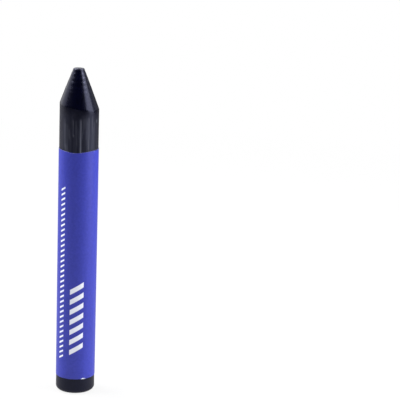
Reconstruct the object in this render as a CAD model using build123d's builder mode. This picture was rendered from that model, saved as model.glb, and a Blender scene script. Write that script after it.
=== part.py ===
from build123d import *
import os
from math import degrees, radians, tan

# A wax marking crayon: a round wax stick with a turned point, in a pasted paper wrapper.
# It stands on its butt end. Z runs up the stick's axis and is 0 on the butt face,
# -Y is the front, and the wrapper's seam is at the back, +Y. Sizes are in millimetres.

# Wax stick
stick_diameter = 12.5
stick_length = 106.5
butt_edge_radius = 1.25
point_half_angle = 21.0  # degrees, from the point's own axis to its side
point_offset = 0.38  # the point is turned this far out of true, towards -X
tip_diameter = 3.3  # flat left at the end of the point
tip_edge_radius = 0.3
shoulder_radius = 1.0  # softens the edge where the point meets the body
cutter_margin = 1.0  # the turning cut runs out this far past the stick

# Paper wrapper, wound anticlockwise seen from above
paper_thickness = 0.07
wrapper_height = 75.8
butt_margin = 5.0  # bare wax below the wrapper
lap_width = 6.0  # paper lying over paper, from the leading edge to the free edge
climb_width = 2.5  # paper used to climb over the leading edge
seam_direction = 90.0  # degrees from +X, to the middle of the lap

# Paste, spread over the whole inner face of the paper
paste_film = 0.05
paste_edge_margin = 1.0  # bare paper along the wrapper's upper and lower edges

stick_radius = stick_diameter / 2
tip_radius = tip_diameter / 2

turn_inner_radius = stick_radius + paste_film
turn_outer_radius = turn_inner_radius + paper_thickness
lap_inner_radius = turn_outer_radius + paste_film

lap_angle = degrees(lap_width / lap_inner_radius)
climb_angle = degrees(climb_width / turn_inner_radius)
lead_angle = seam_direction - lap_angle / 2
turn_angle = 360 - climb_angle
climb_handle = climb_width / 3  # a third of the climb at each end makes an even S

paste_foot = butt_margin + paste_edge_margin
paste_height = wrapper_height - 2 * paste_edge_margin

os.makedirs("parts", exist_ok=True)


def wound_face(offset):
    """A face of the wound sheet seen from above, from its leading edge to its free edge.

    The offset is measured outwards from the paper's inner face. Returns the two ends.
    """
    turn = CenterArc((0, 0), turn_inner_radius + offset, lead_angle, turn_angle)
    lap = CenterArc((0, 0), lap_inner_radius + offset, lead_angle, lap_angle)
    Bezier(
        turn @ 1,
        turn @ 1 + climb_handle * (turn % 1),
        lap @ 0 - climb_handle * (lap % 0),
        lap @ 0,
    )
    return turn @ 0, lap @ 1


def wound_layer(inner_offset, outer_offset):
    """The outline of one layer of the wound sheet, between two of its faces."""
    inner_lead, inner_free = wound_face(inner_offset)
    outer_lead, outer_free = wound_face(outer_offset)
    Line(inner_lead, outer_lead)
    Line(inner_free, outer_free)


# The stick is a plain round whose point was turned about an axis of its own,
# so the shoulder runs higher on one side than on the other.
cut_radius = stick_radius + point_offset + cutter_margin
cut_depth = (cut_radius - tip_radius) / tan(radians(point_half_angle))
point_plane = Plane(origin=(-point_offset, 0, stick_length), x_dir=(1, 0, 0), z_dir=(0, -1, 0))

with BuildPart() as wax_stick:
    with BuildSketch():
        Circle(stick_radius)
    extrude(amount=stick_length)
    with BuildSketch(point_plane):
        with BuildLine():
            Polyline((tip_radius, 0), (cut_radius, -cut_depth), (cut_radius, 0), close=True)
        make_face()
    revolve(axis=Axis(point_plane.origin, (0, 0, 1)), mode=Mode.SUBTRACT)
    round_edges = wax_stick.edges().filter_by(GeomType.LINE, reverse=True).sort_by(Axis.Z)
    butt_edge, *shoulder_edges, tip_edge = round_edges
    fillet(butt_edge, butt_edge_radius)
    fillet(shoulder_edges, shoulder_radius)
    fillet(tip_edge, tip_edge_radius)
wax_stick.part.label = "wax_stick"
export_step(wax_stick.part, "parts/wax_stick.step")

# The wrapper is one sheet of paper: a turn round the stick, a climb over its own leading
# edge, and the lap on the start of the turn.
with BuildPart() as paper_wrapper:
    with BuildSketch(Plane.XY.offset(butt_margin)):
        with BuildLine():
            wound_layer(0, paper_thickness)
        make_face()
    extrude(amount=wrapper_height)
paper_wrapper.part.label = "paper_wrapper"
export_step(paper_wrapper.part, "parts/paper_wrapper.step")

# The paste is wound up with the paper: it holds the turn to the wax and the lap to the turn.
with BuildPart() as paste_coat:
    with BuildSketch(Plane.XY.offset(paste_foot)):
        with BuildLine():
            wound_layer(-paste_film, 0)
        make_face()
    extrude(amount=paste_height)
paste_coat.part.label = "paste_coat"
export_step(paste_coat.part, "parts/paste_coat.step")

for piece in (wax_stick, paper_wrapper, paste_coat):
    print(f"{piece.part.label}: {piece.part.volume:.2f} cubic mm")
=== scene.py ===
import math
import random

import bmesh
import bpy
from mathutils import Matrix, Vector, noise


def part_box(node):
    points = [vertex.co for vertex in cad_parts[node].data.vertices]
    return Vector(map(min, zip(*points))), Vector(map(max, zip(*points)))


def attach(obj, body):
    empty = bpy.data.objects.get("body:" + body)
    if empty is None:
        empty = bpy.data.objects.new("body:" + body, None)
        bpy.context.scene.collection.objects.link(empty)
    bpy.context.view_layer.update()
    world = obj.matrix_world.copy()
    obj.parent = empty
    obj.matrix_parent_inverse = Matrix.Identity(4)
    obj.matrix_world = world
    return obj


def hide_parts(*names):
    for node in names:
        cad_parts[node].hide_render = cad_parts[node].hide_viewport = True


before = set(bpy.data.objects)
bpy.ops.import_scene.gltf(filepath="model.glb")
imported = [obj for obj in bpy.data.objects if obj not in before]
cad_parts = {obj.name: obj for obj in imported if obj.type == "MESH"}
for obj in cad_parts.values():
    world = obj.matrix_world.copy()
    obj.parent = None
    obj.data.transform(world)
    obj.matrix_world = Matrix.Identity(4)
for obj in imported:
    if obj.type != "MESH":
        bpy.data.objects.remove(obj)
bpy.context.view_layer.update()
print("frame loaded:", ", ".join(sorted(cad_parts)))

mm = 0.001  # the scene is in metres
fullTurn = 2 * math.pi
front = math.radians(270)  # the camera's side of the stick, -Y, as an angle from +X

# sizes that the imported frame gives
stickLow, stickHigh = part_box("wax_stick")
sheetLow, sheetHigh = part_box("paper_wrapper")
stickRadius = (stickHigh.x - stickLow.x) / 2
stickLength = stickHigh.z
wrapFoot, wrapTop = sheetLow.z, sheetHigh.z
sheetHeight = wrapTop - wrapFoot


def fade(value, start, end):  # 0 up to the start, 1 from the end on, eased between
    share = min(max((value - start) / (end - start), 0.0), 1.0)
    return share * share * (3 - 2 * share)


def bell(distance, width):  # 1 in the middle, hardly anything two widths away
    across = distance / width
    return math.exp(-across * across)


def addNode(tree, kind, feeds=None, **settings):
    node = tree.nodes.new("ShaderNode" + kind)
    for name, value in settings.items():
        setattr(node, name, value)
    for socket, value in (feeds or {}).items():
        if isinstance(value, bpy.types.NodeSocket):
            tree.links.new(value, node.inputs[socket])
        else:
            node.inputs[socket].default_value = value
    return node


def calc(tree, operation, *values):
    return addNode(tree, "Math", dict(enumerate(values)), operation=operation).outputs[0]


def blendColours(tree, share, first, second):
    feeds = {0: share, 6: first, 7: second}  # the Mix node's factor and its two colours
    return addNode(tree, "Mix", feeds, data_type="RGBA").outputs[2]


def spread(tree, value, fromLow, fromHigh, toLow, toHigh):
    feeds = {"Value": value, "From Min": fromLow, "From Max": fromHigh, "To Min": toLow, "To Max": toHigh}
    return addNode(tree, "MapRange", feeds).outputs[0]


def lengthOf(tree, vector):
    return addNode(tree, "VectorMath", {0: vector}, operation="LENGTH").outputs["Value"]


def objectPlace(tree):
    return addNode(tree, "TexCoord").outputs["Object"]


def emptyMaterial(name):
    material = bpy.data.materials.new(name)
    material.use_nodes = True
    material.node_tree.nodes.clear()
    return material, material.node_tree


def newMaterial(name):
    material, tree = emptyMaterial(name)
    shader = addNode(tree, "BsdfPrincipled")
    addNode(tree, "OutputMaterial", {"Surface": shader.outputs[0]})
    return material, tree, shader


def feedShader(tree, shader, colour, roughness):
    tree.links.new(colour, shader.inputs["Base Color"])
    tree.links.new(roughness, shader.inputs["Roughness"])


def addRelief(tree, shader, height, relief, strength):
    bump = addNode(tree, "Bump", {"Height": height, "Distance": relief, "Strength": strength})
    tree.links.new(bump.outputs[0], shader.inputs["Normal"])


grain = {
    "cloudDetail": 3.0,
    "gritDetail": 2.0,
    "low": 0.3,  # the noise mostly stays between these two
    "high": 0.7,
}


# soft clouds and fine grit, which wax, paper and paste all show at their own scales
def makeGrain():
    group = bpy.data.node_groups.new("fineGrain", "ShaderNodeTree")
    group.interface.new_socket("Place", in_out="INPUT", socket_type="NodeSocketVector")
    for name in ("Clouds per metre", "Grit per metre"):
        group.interface.new_socket(name, in_out="INPUT", socket_type="NodeSocketFloat")
    for name in ("Cloud", "Grit"):
        group.interface.new_socket(name, in_out="OUTPUT", socket_type="NodeSocketFloat")
    given = group.nodes.new("NodeGroupInput").outputs
    result = group.nodes.new("NodeGroupOutput").inputs
    for name, scale, detail in (
        ("Cloud", "Clouds per metre", grain["cloudDetail"]),
        ("Grit", "Grit per metre", grain["gritDetail"]),
    ):
        feeds = {"Vector": given["Place"], "Scale": given[scale], "Detail": detail}
        texture = addNode(group, "TexNoise", feeds).outputs[0]
        group.links.new(spread(group, texture, grain["low"], grain["high"], 0.0, 1.0), result[name])
    return group


fineGrain = makeGrain()
print("grain group built")


def grainOn(tree, place, clouds, grit):
    feeds = {"Place": place, "Clouds per metre": clouds, "Grit per metre": grit}
    node = addNode(tree, "Group", feeds, node_tree=fineGrain)
    return node.outputs["Cloud"], node.outputs["Grit"]


def meshFrom(bm, name, materials):
    mesh = bpy.data.meshes.new(name)
    bm.to_mesh(mesh)
    bm.free()
    for material in materials:
        mesh.materials.append(material)
    return mesh


def addObject(name, data):
    thing = bpy.data.objects.new(name, data)
    bpy.context.scene.collection.objects.link(thing)
    return thing


def finishPiece(bm, name, node, materials):
    for face in bm.faces:
        face.smooth = True
    mesh = meshFrom(bm, name, materials)
    piece = addObject(name, mesh)
    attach(piece, "root")
    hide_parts(node)
    print(name, "made with", len(mesh.polygons), "faces")
    return piece


stick = {
    # shape
    "sides": 400,
    "pointHalfAngle": math.radians(21),
    "pointOffset": 0.38 * mm,  # towards -X
    "tipRadius": 1.65 * mm,
    "crown": 0.06 * mm,  # the point's sides swell by this in the middle
    "flare": 0.04 * mm,  # of the bare butt, which fills the paper's lower edge
    "flareEnd": 0.9 * mm,  # above that edge, under the paper
    "buttRounding": 1.25 * mm,
    "shoulderRounding": 1.0 * mm,
    "tipRounding": 0.36 * mm,
    "roundingSteps": 6,
    "endRings": (0.75, 0.5, 0.25),  # on the flat ends, each as a share of the ring outside it
    "shortEdge": 2 * mm,  # longer edges along the stick are cut up
    "buttCuts": 10,
    "wrappedCuts": 3,
    "shankCuts": 38,
    "pointCuts": 56,
    "weld": 0.001 * mm,
    "restBand": 0.05 * mm,  # below this the butt's flat stays true
    # unevenness: the around values are radii of the circle that is read from the noise
    "swell": 0.012 * mm,
    "swellAround": 1.6,
    "swellPitch": 7 * mm,
    "turningDepth": 0.048 * mm,  # at the tip, less towards the shoulder
    "turningLeast": 0.3,  # the share of it that is left at the shoulder
    "turningAround": 0.4,
    "turningPitch": 0.9 * mm,
    # polish of the point, lost on the shank and on the rubbed tip
    "smoothBand": 1.8 * mm,  # left clean under the shoulder, more or less
    "bandUnevenness": 0.8,
    "bandAround": 3,
    "bandPitch": 3 * mm,
    "polishedTo": -0.3 * mm,  # below the shoulder, so the fade starts a little above it
    "polishMargin": 0.6 * mm,
    "tipDullness": 0.8,
    "tipBand": 0.7 * mm,  # it dulls over the lower half of this
    # drag lines that stand out, and one broad band of painted sheen among them: degrees right of the front,
    # width in mm, start and end in mm below the shoulder, strength
    "dragLinesAndSheen": [
        (9.4, 0.34, 2.6, 16.0, 0.80),
        (-13.0, 0.20, 3.2, 8.2, 0.30),
        (-11.0, 0.24, 8.2, 8.9, 0.40),
        (-4.0, 0.22, 3.2, 14.0, 0.24),
        (33.7, 0.30, 1.6, 12.0, 0.50),
        (29.5, 0.22, 2.6, 16.0, 0.26),
        (46.5, 0.32, 1.2, 12.0, 0.36),
        (55.0, 0.30, 3.0, 16.0, 0.20),
        (66.6, 0.24, 2.7, 3.6, 1.00),
        # painted sheen: this broad band of pale bloom stands in partly for the left lamp's sheen on the
        # shank and partly for scuffs
        (-42.0, 0.60, 3.4, 13.0, 0.13),
        (-34.0, 0.70, 5.0, 16.0, 0.20),
        (-36.0, 0.80, 11.6, 16.0, 0.18),
    ],
    # drag lines drawn at random, in the same units
    "fineLines": {
        "count": 90,
        "turn": (-180, 180),
        "width": (0.12, 0.26),
        "start": (1.6, 9.0),
        "length": (1.5, 9.0),
        "strength": (0.04, 0.20),
    },
    "backLines": {  # lines that stand out on the side away from the camera
        "count": 12,
        "turn": (100, 262),
        "width": (0.20, 0.40),
        "start": (1.4, 4.0),
        "length": (4.0, 13.0),
        "strength": (0.20, 0.65),
    },
    "seed": 11,
    "lineReach": 2.5,  # a line is followed for this many widths to each side
    "lineEnds": 1.2 * mm,  # it fades over this much, or over a third of a short line
    "lineDepth": 0.030 * mm,
    "deepestLines": 1.2,  # lines that cross go no deeper than this many line depths
    "haze": 0.06,  # dullness all over the dragged part
    "underPaper": 1 * mm,  # the dragged part runs on this far under the paper
    # wax
    "deep": (0.0002, 0.0003, 0.0034, 1),
    "lit": (0.0005, 0.0007, 0.0064, 1),
    "bloomAndSheen": (0.096, 0.101, 0.128, 1),  # dry, pale wax where the stick was dragged, and painted sheen on the broad band at -42 degrees
    "leastBloom": 0.35,  # of the bloom, between the finest lines
    "ior": 1.44,
    "glossTint": (0.63, 0.66, 1.0, 1),
    "pointRoughness": 0.20,
    "shankRoughness": 0.44,
    "bloomRoughness": 0.25,  # these two are added to it
    "gritRoughness": 0.04,
    "cloudsPerMetre": 420,
    "gritPerMetre": 5200,
    "linesPerMetre": 3600,
    "lineStretch": 0.03,  # the finest lines run along the stick
    "lineDetail": 2.0,
    "lineLow": 0.35,
    "lineHigh": 0.65,
    "relief": 0.012 * mm,
    "gritRelief": 0.3,  # beside the lines' relief of 1
    "reliefStrength": 0.6,
}

draggedFoot = wrapTop - stick["underPaper"]


def shoulderHeight(angle):
    reach = math.hypot(stickRadius * math.cos(angle) + stick["pointOffset"], stickRadius * math.sin(angle))
    return stickLength - (reach - stick["tipRadius"]) / math.tan(stick["pointHalfAngle"])


def angleOf(co):
    return math.atan2(co.y, co.x)


def sideOf(angle):  # counted in the stick's sides from +X
    return angle / fullTurn * stick["sides"]


def noiseRound(angle, height, around, pitch):  # noise that closes round the stick
    return noise.noise(Vector((math.cos(angle) * around, math.sin(angle) * around, height / pitch)))


def drawRing(bm, edges, moved):
    made = bmesh.ops.extrude_edge_only(bm, edges=edges)["geom"]
    for v in made:
        if isinstance(v, bmesh.types.BMVert):
            v.co = moved(v.co)
    return [e for e in made if isinstance(e, bmesh.types.BMEdge) and e.is_boundary]


def closeEnd(bm, edges, centre):
    for share in stick["endRings"]:
        edges = drawRing(bm, edges, lambda co: centre + (co - centre) * share)
    verts = list(dict.fromkeys(v for e in edges for v in e.verts))
    bmesh.ops.pointmerge(bm, verts=verts, merge_co=centre)


def toShoulder(co):
    return Vector((co.x, co.y, shoulderHeight(angleOf(co))))


def toTip(co):
    axis = Vector((-stick["pointOffset"], 0, 0))
    outward = Vector((co.x, co.y, 0)) - axis
    rim = axis + outward.normalized() * stick["tipRadius"]
    return Vector((rim.x, rim.y, stickLength))


def roundEdge(bm, edges, radius, turn):
    offset = radius * math.tan(turn / 2)
    bmesh.ops.bevel(bm, geom=edges, offset=offset, offset_type="OFFSET", affect="EDGES",
                    segments=stick["roundingSteps"], profile=0.5, material=-1)


def divideStretch(bm, low, high, cuts):
    def along(edge):
        first, second = (v.co.z for v in edge.verts)
        return low < (first + second) / 2 < high and abs(first - second) > stick["shortEdge"]
    bmesh.ops.subdivide_edges(bm, edges=[e for e in bm.edges if along(e)], cuts=cuts, use_grid_fill=True)


def buildStick():
    bm = bmesh.new()
    bmesh.ops.create_circle(bm, segments=stick["sides"], radius=stickRadius)
    buttEdge = list(bm.edges)
    ring = buttEdge
    for height in (wrapFoot, wrapFoot + stick["flareEnd"], wrapTop):
        ring = drawRing(bm, ring, lambda co: Vector((co.x, co.y, height)))
    shoulder = drawRing(bm, ring, toShoulder)
    tipEdge = drawRing(bm, shoulder, toTip)
    closeEnd(bm, tipEdge, Vector((-stick["pointOffset"], 0, stickLength)))
    closeEnd(bm, buttEdge, Vector((0, 0, 0)))
    roundEdge(bm, shoulder, stick["shoulderRounding"], stick["pointHalfAngle"])
    roundEdge(bm, tipEdge, stick["tipRounding"], math.pi / 2 - stick["pointHalfAngle"])
    roundEdge(bm, buttEdge, stick["buttRounding"], math.pi / 2)
    lowestShoulder = shoulderHeight(0.0)
    divideStretch(bm, 0, wrapFoot, stick["buttCuts"])
    divideStretch(bm, wrapFoot, wrapTop, stick["wrappedCuts"])
    divideStretch(bm, wrapTop, lowestShoulder, stick["shankCuts"])
    divideStretch(bm, lowestShoulder, stickLength, stick["pointCuts"])
    bmesh.ops.remove_doubles(bm, verts=bm.verts, dist=stick["weld"])
    bmesh.ops.recalc_face_normals(bm, faces=bm.faces)
    return bm


def randomLines(rng, lines):
    for _ in range(lines["count"]):
        start = rng.uniform(*lines["start"])
        end = start + rng.uniform(*lines["length"])
        turn = rng.uniform(*lines["turn"])
        width = rng.uniform(*lines["width"])
        yield turn, width, start, end, rng.uniform(*lines["strength"])


def lineMarks():
    rng = random.Random(stick["seed"])
    lines = list(stick["dragLinesAndSheen"])
    lines += randomLines(rng, stick["fineLines"])
    lines += randomLines(rng, stick["backLines"])
    return [(math.radians(turn), width * mm, start * mm, end * mm, strength)
            for turn, width, start, end, strength in lines]


def markLines(bm, scuffAndSheen):
    columns = {}
    for v in bm.verts:
        columns.setdefault(round(sideOf(angleOf(v.co))) % stick["sides"], []).append(v)
    sink = {}
    for turn, width, start, end, strength in lineMarks():
        middle = sideOf(front + turn)
        lineSides = sideOf(width / stickRadius)
        reach = stick["lineReach"] * lineSides
        ends = min(stick["lineEnds"], (end - start) / 3)
        for side in range(math.ceil(middle - reach), math.floor(middle + reach) + 1):
            press = strength * bell(side - middle, lineSides)
            shoulder = shoulderHeight(side / stick["sides"] * fullTurn)
            for v in columns[side % stick["sides"]]:
                depth = shoulder - v.co.z
                if v.co.z > draggedFoot and depth > 0:
                    share = press * fade(depth, start, start + ends) * (1 - fade(depth, end, end + ends))
                    v[scuffAndSheen] = min(1.0, v[scuffAndSheen] + share)
                    sink[v] = sink.get(v, 0.0) + share
    return sink


def polishAt(height, depth, band):
    tipStart = stickLength - stick["tipBand"]
    dull = stick["tipDullness"] * fade(height, tipStart, tipStart + stick["tipBand"] / 2)
    return (1 - dull) * (1 - fade(depth, stick["polishedTo"], band + stick["polishMargin"]))


def unevenness(angle, height, shoulder):
    move = stick["swell"] * noiseRound(angle, height, stick["swellAround"], stick["swellPitch"])
    covered = fade(height, wrapFoot, wrapFoot + stick["flareEnd"])
    move += stick["flare"] * fade(height, 0, stick["buttRounding"]) * (1 - covered)
    if height > shoulder:
        ring = noiseRound(angle, height, stick["turningAround"], stick["turningPitch"])
        least = stick["turningLeast"]
        move += stick["turningDepth"] * ring * (least + (1 - least) * fade(height, shoulder, stickLength))
        move += stick["crown"] * math.sin(math.pi * (height - shoulder) / (stickLength - shoulder))
    return move


def wearStick(bm):
    scuffAndSheen = bm.verts.layers.float.new("scuffAndSheen")
    polish = bm.verts.layers.float.new("polish")
    sink = markLines(bm, scuffAndSheen)
    bm.normal_update()
    moves = {}
    for v in bm.verts:
        angle, height = angleOf(v.co), v.co.z
        shoulder = shoulderHeight(angle)
        depth = shoulder - height
        patch = noiseRound(angle, height, stick["bandAround"], stick["bandPitch"])
        band = stick["smoothBand"] * (1 + stick["bandUnevenness"] * patch)
        v[polish] = polishAt(height, depth, band)
        if height > draggedFoot:
            v[scuffAndSheen] += stick["haze"] * fade(depth, band, 2 * band)
        move = unevenness(angle, height, shoulder)
        move -= stick["lineDepth"] * min(sink.get(v, 0.0), stick["deepestLines"])
        moves[v] = v.normal * move
    for v, move in moves.items():
        if v.co.z > stick["restBand"]:
            v.co += move


def makeWax():
    material, tree, shader = newMaterial("pigmentedWax")
    place = objectPlace(tree)
    cloud, grit = grainOn(tree, place, stick["cloudsPerMetre"], stick["gritPerMetre"])
    drawn = addNode(tree, "Mapping", {"Vector": place, "Scale": (1, 1, stick["lineStretch"])}).outputs[0]
    feeds = {"Vector": drawn, "Scale": stick["linesPerMetre"], "Detail": stick["lineDetail"]}
    lines = addNode(tree, "TexNoise", feeds).outputs[0]
    lines = spread(tree, lines, stick["lineLow"], stick["lineHigh"], 0.0, 1.0)
    scuffAndSheen = addNode(tree, "Attribute", attribute_name="scuffAndSheen").outputs["Fac"]
    polish = addNode(tree, "Attribute", attribute_name="polish").outputs["Fac"]
    # the pale bloom mask: drag lines and scuffs, and painted sheen on the broad left band
    dryAndSheen = calc(tree, "MULTIPLY", scuffAndSheen, spread(tree, lines, 0.0, 1.0, stick["leastBloom"], 1.0))
    bare = blendColours(tree, cloud, stick["deep"], stick["lit"])
    colour = blendColours(tree, dryAndSheen, bare, stick["bloomAndSheen"])
    rough = spread(tree, polish, 0.0, 1.0, stick["shankRoughness"], stick["pointRoughness"])
    rough = calc(tree, "MULTIPLY_ADD", dryAndSheen, stick["bloomRoughness"], rough)
    rough = calc(tree, "MULTIPLY_ADD", grit, stick["gritRoughness"], rough)
    feedShader(tree, shader, colour, rough)
    rubbed = calc(tree, "MULTIPLY", lines, calc(tree, "SUBTRACT", 1.0, polish))
    height = calc(tree, "MULTIPLY_ADD", grit, stick["gritRelief"], rubbed)
    addRelief(tree, shader, height, stick["relief"], stick["reliefStrength"])
    shader.inputs["IOR"].default_value = stick["ior"]
    shader.inputs["Specular Tint"].default_value = stick["glossTint"]
    return material


stickShape = buildStick()
wearStick(stickShape)
finishPiece(stickShape, "waxStick", "wax_stick", [makeWax()])


sheet = {
    # shape
    "thickness": 0.07 * mm,
    "lapWidth": 6.0 * mm,
    "climbWidth": 2.5 * mm,
    "seamDirection": math.radians(90),  # the back, +Y
    "columns": 380,
    "rows": 60,
    # cut edges, a little off the frame's
    "footTrim": 0.15 * mm,  # the lower edge stops this far above
    "topRise": 0.12 * mm,  # the upper edge stops this far above, apart from its dip
    "dip": 0.48 * mm,
    "dipTurn": math.radians(-5),  # right of the front
    "dipWidth": math.radians(31),
    "trimBand": 4 * mm,  # the sheet is drawn up or down over this much
    # where the paper has come away from the stick
    "slack": 0.012 * mm,
    "slackBias": 0.5,  # more of it stands off than lies tight
    "slackAlong": 9 * mm,
    "slackUp": 13 * mm,
    "slackPlane": 0.5,  # of the noise
    "slackEnds": 4 * mm,  # both ends of the turn are held down
    "lift": 0.10 * mm,  # of a spot on the lower edge
    "liftTurn": math.radians(28),  # right of the front
    "liftWidth": 1.1 * mm,
    "liftHeight": 0.8 * mm,
    "freeLift": 0.04 * mm,  # of the free edge
    "freeBand": 1.5 * mm,
    "cornerLift": 0.12 * mm,  # of its upper corner
    "cornerBand": 5 * mm,
    # ink and paper
    "inkDeep": (0.023, 0.031, 0.330, 1),
    "inkLight": (0.029, 0.039, 0.390, 1),
    "white": (0.77, 0.79, 0.87, 1),
    "core": (0.70, 0.74, 0.84, 1),  # the paper itself, where the ink is off
    "ior": 1.44,
    "roughness": 0.40,
    "gritRoughness": 0.10,  # these two are added to it
    "wornRoughness": 0.25,
    "cloudsPerMetre": 1300,
    "gritPerMetre": 6000,
    "relief": 0.010 * mm,
    "cloudRelief": 0.5,  # beside the grit's relief of 1
    "reliefStrength": 0.5,
    # printed marks in mm: column right of the front, half width, pitch, half height of a mark,
    # middle of the row up from the sheet's lower edge, half height of the row
    "ticks": (-4.7, 0.85, 1.7, 0.30, 38.0, 29.0),
    "bars": (0.6, 2.2, 3.4, 0.85, 20.4, 11.9),
    "slant": 0.6,
    "inkEdge": 0.05,
    # worn ink in mm, and the grit that breaks it up
    "frayBand": 0.22,
    "frayGrit": (0.6, 1.0),
    "fray": 0.3,
    "seamBand": (0.05, 0.25),
    "seamGrit": (0.3, 0.9),
    "seamWear": (0.08, 0.5),
    "rubAcross": 3.1,  # right of the front
    "rubHalfWidth": 0.8,
    "rubHeight": 0.34,
    "rubGrit": 0.4,
    "rubEdge": (0.9, 1.3),
    # cut edges, stained by the ink and the wax
    "cutDark": (0.12, 0.135, 0.26, 1),
    "cutPale": (0.42, 0.45, 0.56, 1),
    "cutCloudsPerMetre": 1500,
    "cutGritPerMetre": 9000,
    "cutRoughness": (0.7, 0.95),
    "cutGloss": 0.15,
    "freeEdge": (0.998, 0.999),  # along the sheet, where the core shows
}

# radii and lengths of the wound sheet, from the frame's box
turnInner = sheetHigh.x - sheet["thickness"]
lapInner = sheetHigh.y - sheet["thickness"]
lapAngle = sheet["lapWidth"] / lapInner
climbAngle = sheet["climbWidth"] / turnInner
leadAngle = sheet["seamDirection"] - lapAngle / 2
turnAngle = fullTurn - climbAngle
turnLength = turnInner * turnAngle
lapStart = turnLength + sheet["climbWidth"]
sheetLength = lapStart + sheet["lapWidth"]
frontAlong = turnInner * (front - leadAngle)  # from the leading edge to the front


def windAngle(along):
    if along < turnLength:
        return leadAngle + along / turnInner
    if along < lapStart:
        return leadAngle + turnAngle + (along - turnLength) / sheet["climbWidth"] * climbAngle
    return leadAngle + fullTurn + (along - lapStart) / lapInner


def windRadius(along):  # the turn, the climb over the leading edge, the lap
    return turnInner + (lapInner - turnInner) * fade(along, turnLength, lapStart)


def standOff(along, up):
    lift = sheet["lift"] * bell(along - frontAlong - sheet["liftTurn"] * turnInner, sheet["liftWidth"])
    lift *= 1 - fade(up, 0, sheet["liftHeight"])
    ripple = noise.noise(Vector((along / sheet["slackAlong"], up / sheet["slackUp"], sheet["slackPlane"])))
    slack = sheet["slack"] * (ripple + sheet["slackBias"])
    slack *= fade(along, 0, sheet["slackEnds"]) * fade(turnLength - along, 0, sheet["slackEnds"])
    free = sheet["freeLift"] * fade(along, sheetLength - sheet["freeBand"], sheetLength)
    corner = sheet["cornerLift"] * fade(along, sheetLength - sheet["cornerBand"], sheetLength)
    corner *= fade(up, sheetHeight - sheet["cornerBand"], sheetHeight)
    return lift + max(slack, 0.0) + free + corner


def heightOf(along, up):
    drop = sheet["dip"] * bell((along - frontAlong) / turnInner - sheet["dipTurn"], sheet["dipWidth"])
    drop -= sheet["topRise"]
    height = wrapFoot + up + sheet["footTrim"] * (1 - fade(up, 0, sheet["trimBand"]))
    return height - drop * fade(up, sheetHeight - sheet["trimBand"], sheetHeight)


def windPoint(along, up):
    angle = windAngle(along)
    radius = windRadius(along) + standOff(along, up)
    return Vector((radius * math.cos(angle), radius * math.sin(angle), heightOf(along, up)))


def buildSheet():
    bm = bmesh.new()
    bm.loops.layers.uv.new("sheet")
    bmesh.ops.create_grid(bm, x_segments=sheet["columns"], y_segments=sheet["rows"],
                          size=0.5, calc_uvs=True)
    for v in bm.verts:
        v.co = windPoint((v.co.x + 0.5) * sheetLength, (v.co.y + 0.5) * sheetHeight)
    for edge in bm.edges:
        edge.smooth = not edge.is_boundary  # the cut edges stay crisp
    return bm


def flatSheet(tree):
    return addNode(tree, "UVMap", uv_map="sheet").outputs[0]


def printedMarks(tree, across, up):
    soft = sheet["inkEdge"]
    slanted = calc(tree, "MULTIPLY_ADD", across, -sheet["slant"], up)
    rows = []
    for column, halfWidth, pitch, half, middle, reach in (sheet["ticks"], sheet["bars"]):
        wave = calc(tree, "PINGPONG", slanted, pitch / 2)
        row = spread(tree, wave, half - soft, half + soft, 1.0, 0.0)
        row = calc(tree, "MULTIPLY", row, calc(tree, "COMPARE", across, column, halfWidth))
        row = calc(tree, "MULTIPLY", row, calc(tree, "COMPARE", slanted, middle, reach))
        rows.append(row)
    return calc(tree, "MAXIMUM", *rows)


def frayedEdges(tree, across, up, grit):
    toEdge = calc(tree, "MINIMUM", up, calc(tree, "SUBTRACT", sheetHeight / mm, up))
    edge = spread(tree, toEdge, 0.0, sheet["frayBand"], 1.0, 0.0)
    edge = calc(tree, "MULTIPLY", edge, spread(tree, grit, *sheet["frayGrit"], 0.0, sheet["fray"]))
    toSeam = calc(tree, "SUBTRACT", (sheetLength - frontAlong) / mm, across)
    seam = spread(tree, toSeam, *sheet["seamBand"], 1.0, 0.0)
    seam = calc(tree, "MULTIPLY", seam, spread(tree, grit, *sheet["seamGrit"], *sheet["seamWear"]))
    return calc(tree, "MAXIMUM", edge, seam)


def rubbedSpot(tree, across, up, grit):
    aside = calc(tree, "SUBTRACT", across, sheet["rubAcross"])
    aside = calc(tree, "DIVIDE", aside, sheet["rubHalfWidth"])
    above = calc(tree, "DIVIDE", up, sheet["rubHeight"])
    away = lengthOf(tree, addNode(tree, "CombineXYZ", {0: aside, 1: above}).outputs[0])
    away = calc(tree, "MULTIPLY_ADD", grit, sheet["rubGrit"], away)
    return spread(tree, away, *sheet["rubEdge"], 1.0, 0.0)


def makePrintedPaper():
    material, tree, shader = newMaterial("printedPaper")
    measured = addNode(tree, "Mapping", {
        "Vector": flatSheet(tree),
        "Location": (-frontAlong / mm, 0, 0),
        "Scale": (sheetLength / mm, sheetHeight / mm, 1),
    })
    parts = addNode(tree, "SeparateXYZ", {0: measured.outputs[0]}).outputs
    across, up = parts[0], parts[1]  # mm right of the front, mm up from the lower edge
    cloud, grit = grainOn(tree, objectPlace(tree), sheet["cloudsPerMetre"], sheet["gritPerMetre"])
    ink = blendColours(tree, cloud, sheet["inkDeep"], sheet["inkLight"])
    printed = blendColours(tree, printedMarks(tree, across, up), ink, sheet["white"])
    frayed = frayedEdges(tree, across, up, grit)
    worn = calc(tree, "MAXIMUM", frayed, rubbedSpot(tree, across, up, grit))
    rough = calc(tree, "MULTIPLY_ADD", grit, sheet["gritRoughness"], sheet["roughness"])
    rough = calc(tree, "MULTIPLY_ADD", worn, sheet["wornRoughness"], rough)
    feedShader(tree, shader, blendColours(tree, worn, printed, sheet["core"]), rough)
    height = calc(tree, "MULTIPLY_ADD", cloud, sheet["cloudRelief"], grit)
    addRelief(tree, shader, height, sheet["relief"], sheet["reliefStrength"])
    shader.inputs["IOR"].default_value = sheet["ior"]
    return material


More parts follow.
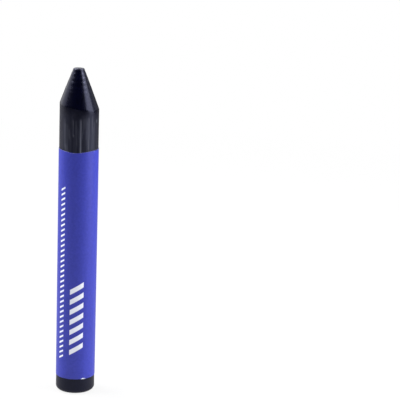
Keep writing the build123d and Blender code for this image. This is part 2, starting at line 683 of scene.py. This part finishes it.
def makeCutPaper():
    material, tree, shader = newMaterial("cutPaper")
    along = addNode(tree, "SeparateXYZ", {0: flatSheet(tree)}).outputs[0]
    cloud, grit = grainOn(tree, objectPlace(tree), sheet["cutCloudsPerMetre"], sheet["cutGritPerMetre"])
    stained = blendColours(tree, cloud, sheet["cutDark"], sheet["cutPale"])
    atFreeEdge = spread(tree, along, *sheet["freeEdge"], 0.0, 1.0)
    colour = blendColours(tree, atFreeEdge, stained, sheet["core"])
    feedShader(tree, shader, colour, spread(tree, grit, 0.0, 1.0, *sheet["cutRoughness"]))
    shader.inputs["Specular IOR Level"].default_value = sheet["cutGloss"]
    return material


paperPiece = finishPiece(buildSheet(), "paperWrapper", "paper_wrapper",
                         [makePrintedPaper(), makeCutPaper()])
wall = paperPiece.modifiers.new("paperThickness", "SOLIDIFY")
wall.thickness = sheet["thickness"]
wall.offset = 1.0  # outwards
wall.use_rim = True
wall.material_offset_rim = 1  # the cut paper
print("sheet wound:", round(sheetLength / mm, 1), "x", round(sheetHeight / mm, 1), "mm")


paste = {
    "thin": (0.60, 0.54, 0.38, 1),
    "thick": (0.76, 0.71, 0.56, 1),
    "roughness": (0.30, 0.55),
    "cloudsPerMetre": 500,
    "gritPerMetre": 3000,
    "relief": 0.01 * mm,
    "reliefStrength": 0.5,
}


def makePaste():
    material, tree, shader = newMaterial("driedPaste")
    cloud, grit = grainOn(tree, objectPlace(tree), paste["cloudsPerMetre"], paste["gritPerMetre"])
    colour = blendColours(tree, cloud, paste["thin"], paste["thick"])
    feedShader(tree, shader, colour, spread(tree, cloud, 0.0, 1.0, *paste["roughness"]))
    addRelief(tree, shader, grit, paste["relief"], paste["reliefStrength"])
    return material


driedPaste = makePaste()
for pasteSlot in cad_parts["paste_coat"].material_slots:
    pasteSlot.material = driedPaste
print("paste coat finished")


studio = {
    "floorRadius": 2.5,
    "floorSides": 96,
    "floorColour": (0.48, 0.48, 0.48, 1),
    "floorNear": 0.05,  # from here to floorFar the floor goes over into plain white
    "floorFar": 0.45,
    "shadedShare": 0.15,  # of the near floor, which keeps the stick's shadow
    "paintedGlowNear": 0.74,  # painted light: the floor glows with this tone in the stick's reflections near it, fading to the far tone further off as if less lit there
    "paintedGlowFar": 0.17,
    "floorDrop": 0.02 * mm,
    "white": (1, 1, 1, 1),
    "room": (0.012, 0.012, 0.013, 1),
    "backdrop": (0.55, 0.55, 0.56, 1),
    "backdropSides": (0.0, 0.5),  # it comes in between these, as the Y of a direction
    "backdropFoot": (0.02, 0.20),  # and darkens between these, as the Z of a direction
    "footShare": 0.2,  # of its tone, at the foot
    # degrees right of the front, degrees up, distance, width and height in metres,
    # and the level, where 1 is white
    "softboxes": {
        "rightBox": (78, 20, 0.42, 0.30, 0.46, 3.5),
        "rightTopBox": (97, 50, 0.50, 0.40, 0.28, 9.5),
        "leftBox": (-115, 20, 0.50, 0.60, 0.50, 1.2),
        "leftTopBox": (-102, 53, 0.50, 0.44, 0.30, 13.5),
        "backBox": (180, 45, 0.70, 0.60, 0.50, 1.9),
        "topBox": (0, 85, 0.50, 0.26, 0.26, 2.4),
    },
}


def makeFloorFinish():
    material, tree = emptyMaterial("paleFloor")
    matt = addNode(tree, "BsdfDiffuse", {"Color": studio["floorColour"]})
    light = addNode(tree, "LightPath").outputs
    away = lengthOf(tree, objectPlace(tree))
    reach = (studio["floorNear"], studio["floorFar"])
    # painted light: in reflections the floor glows, bright near the stick and darker far from it
    mirrored = spread(tree, away, *reach, studio["paintedGlowNear"], studio["paintedGlowFar"])
    tone = blendColours(tree, light["Is Camera Ray"], mirrored, studio["white"])
    plain = addNode(tree, "Emission", {"Color": tone})
    seen = calc(tree, "MAXIMUM", light["Is Camera Ray"], light["Is Glossy Ray"])
    seen = calc(tree, "MAXIMUM", seen, light["Is Transmission Ray"])
    share = calc(tree, "MULTIPLY", seen, spread(tree, away, *reach, 1 - studio["shadedShare"], 1.0))
    top = addNode(tree, "MixShader", {0: share, 1: matt.outputs[0], 2: plain.outputs[0]})
    clear = addNode(tree, "BsdfTransparent")
    under = addNode(tree, "NewGeometry").outputs["Backfacing"]
    both = addNode(tree, "MixShader", {0: under, 1: top.outputs[0], 2: clear.outputs[0]})
    addNode(tree, "OutputMaterial", {"Surface": both.outputs[0]})
    return material


def makeFloor():
    bm = bmesh.new()
    bmesh.ops.create_circle(bm, cap_ends=True, segments=studio["floorSides"], radius=studio["floorRadius"])
    bmesh.ops.translate(bm, verts=bm.verts, vec=(0, 0, -studio["floorDrop"]))
    floor = addObject("floor", meshFrom(bm, "floor", [makeFloorFinish()]))


def makeSoftbox(name, turn, rise, distance, width, height, level):
    data = bpy.data.lights.new(name, "AREA")
    data.shape = "RECTANGLE"
    data.size, data.size_y = width, height
    data.energy = level * math.pi * width * height
    turn, rise = math.radians(turn), math.radians(rise)
    away = Vector((math.sin(turn) * math.cos(rise), -math.cos(turn) * math.cos(rise), math.sin(rise)))
    target = Vector((0, 0, stickLength / 2))
    facing = away.to_track_quat("Z", "Y").to_matrix().to_4x4()
    addObject(name, data).matrix_world = Matrix.Translation(target + away * distance) @ facing


def makeWorld():
    world = bpy.data.worlds.new("studio")
    world.use_nodes = True
    tree = world.node_tree
    tree.nodes.clear()
    light = addNode(tree, "LightPath").outputs
    direction = addNode(tree, "TexCoord").outputs["Generated"]
    parts = addNode(tree, "SeparateXYZ", {0: direction}).outputs
    behind = spread(tree, parts[1], *studio["backdropSides"], 0.0, 1.0)  # behind the stick
    above = spread(tree, parts[2], *studio["backdropFoot"], studio["footShare"], 1.0)
    behind = calc(tree, "MULTIPLY", behind, above)
    mirrored = calc(tree, "MAXIMUM", light["Is Glossy Ray"], light["Is Transmission Ray"])
    mirrored = calc(tree, "MULTIPLY", mirrored, behind)
    colour = blendColours(tree, mirrored, studio["room"], studio["backdrop"])
    colour = blendColours(tree, light["Is Camera Ray"], colour, studio["white"])
    background = addNode(tree, "Background", {"Color": colour})
    addNode(tree, "OutputWorld", {"Surface": background.outputs[0]})
    bpy.context.scene.world = world


makeFloor()
for name, place in studio["softboxes"].items():
    makeSoftbox(name, *place)
makeWorld()
print("studio lit")


camera = {
    "place": (39.09 * mm, -486.41 * mm, 185.68 * mm),
    "pitch": math.radians(13.91),  # down
    "roll": math.radians(2.03),
    "lens": 140.76,
    "sensor": 36.0,
    "clip": (0.01, 20),
}


def makeCamera():
    data = bpy.data.cameras.new("camera")
    data.lens, data.sensor_width = camera["lens"], camera["sensor"]
    data.clip_start, data.clip_end = camera["clip"]
    shot = addObject("camera", data)
    tilt = Matrix.Rotation(math.pi / 2 - camera["pitch"], 4, "X")
    shot.matrix_world = Matrix.Translation(camera["place"]) @ tilt @ Matrix.Rotation(camera["roll"], 4, "Z")
    bpy.context.scene.camera = shot


makeCamera()
bpy.context.scene.view_settings.view_transform = "Standard"
print("camera set")
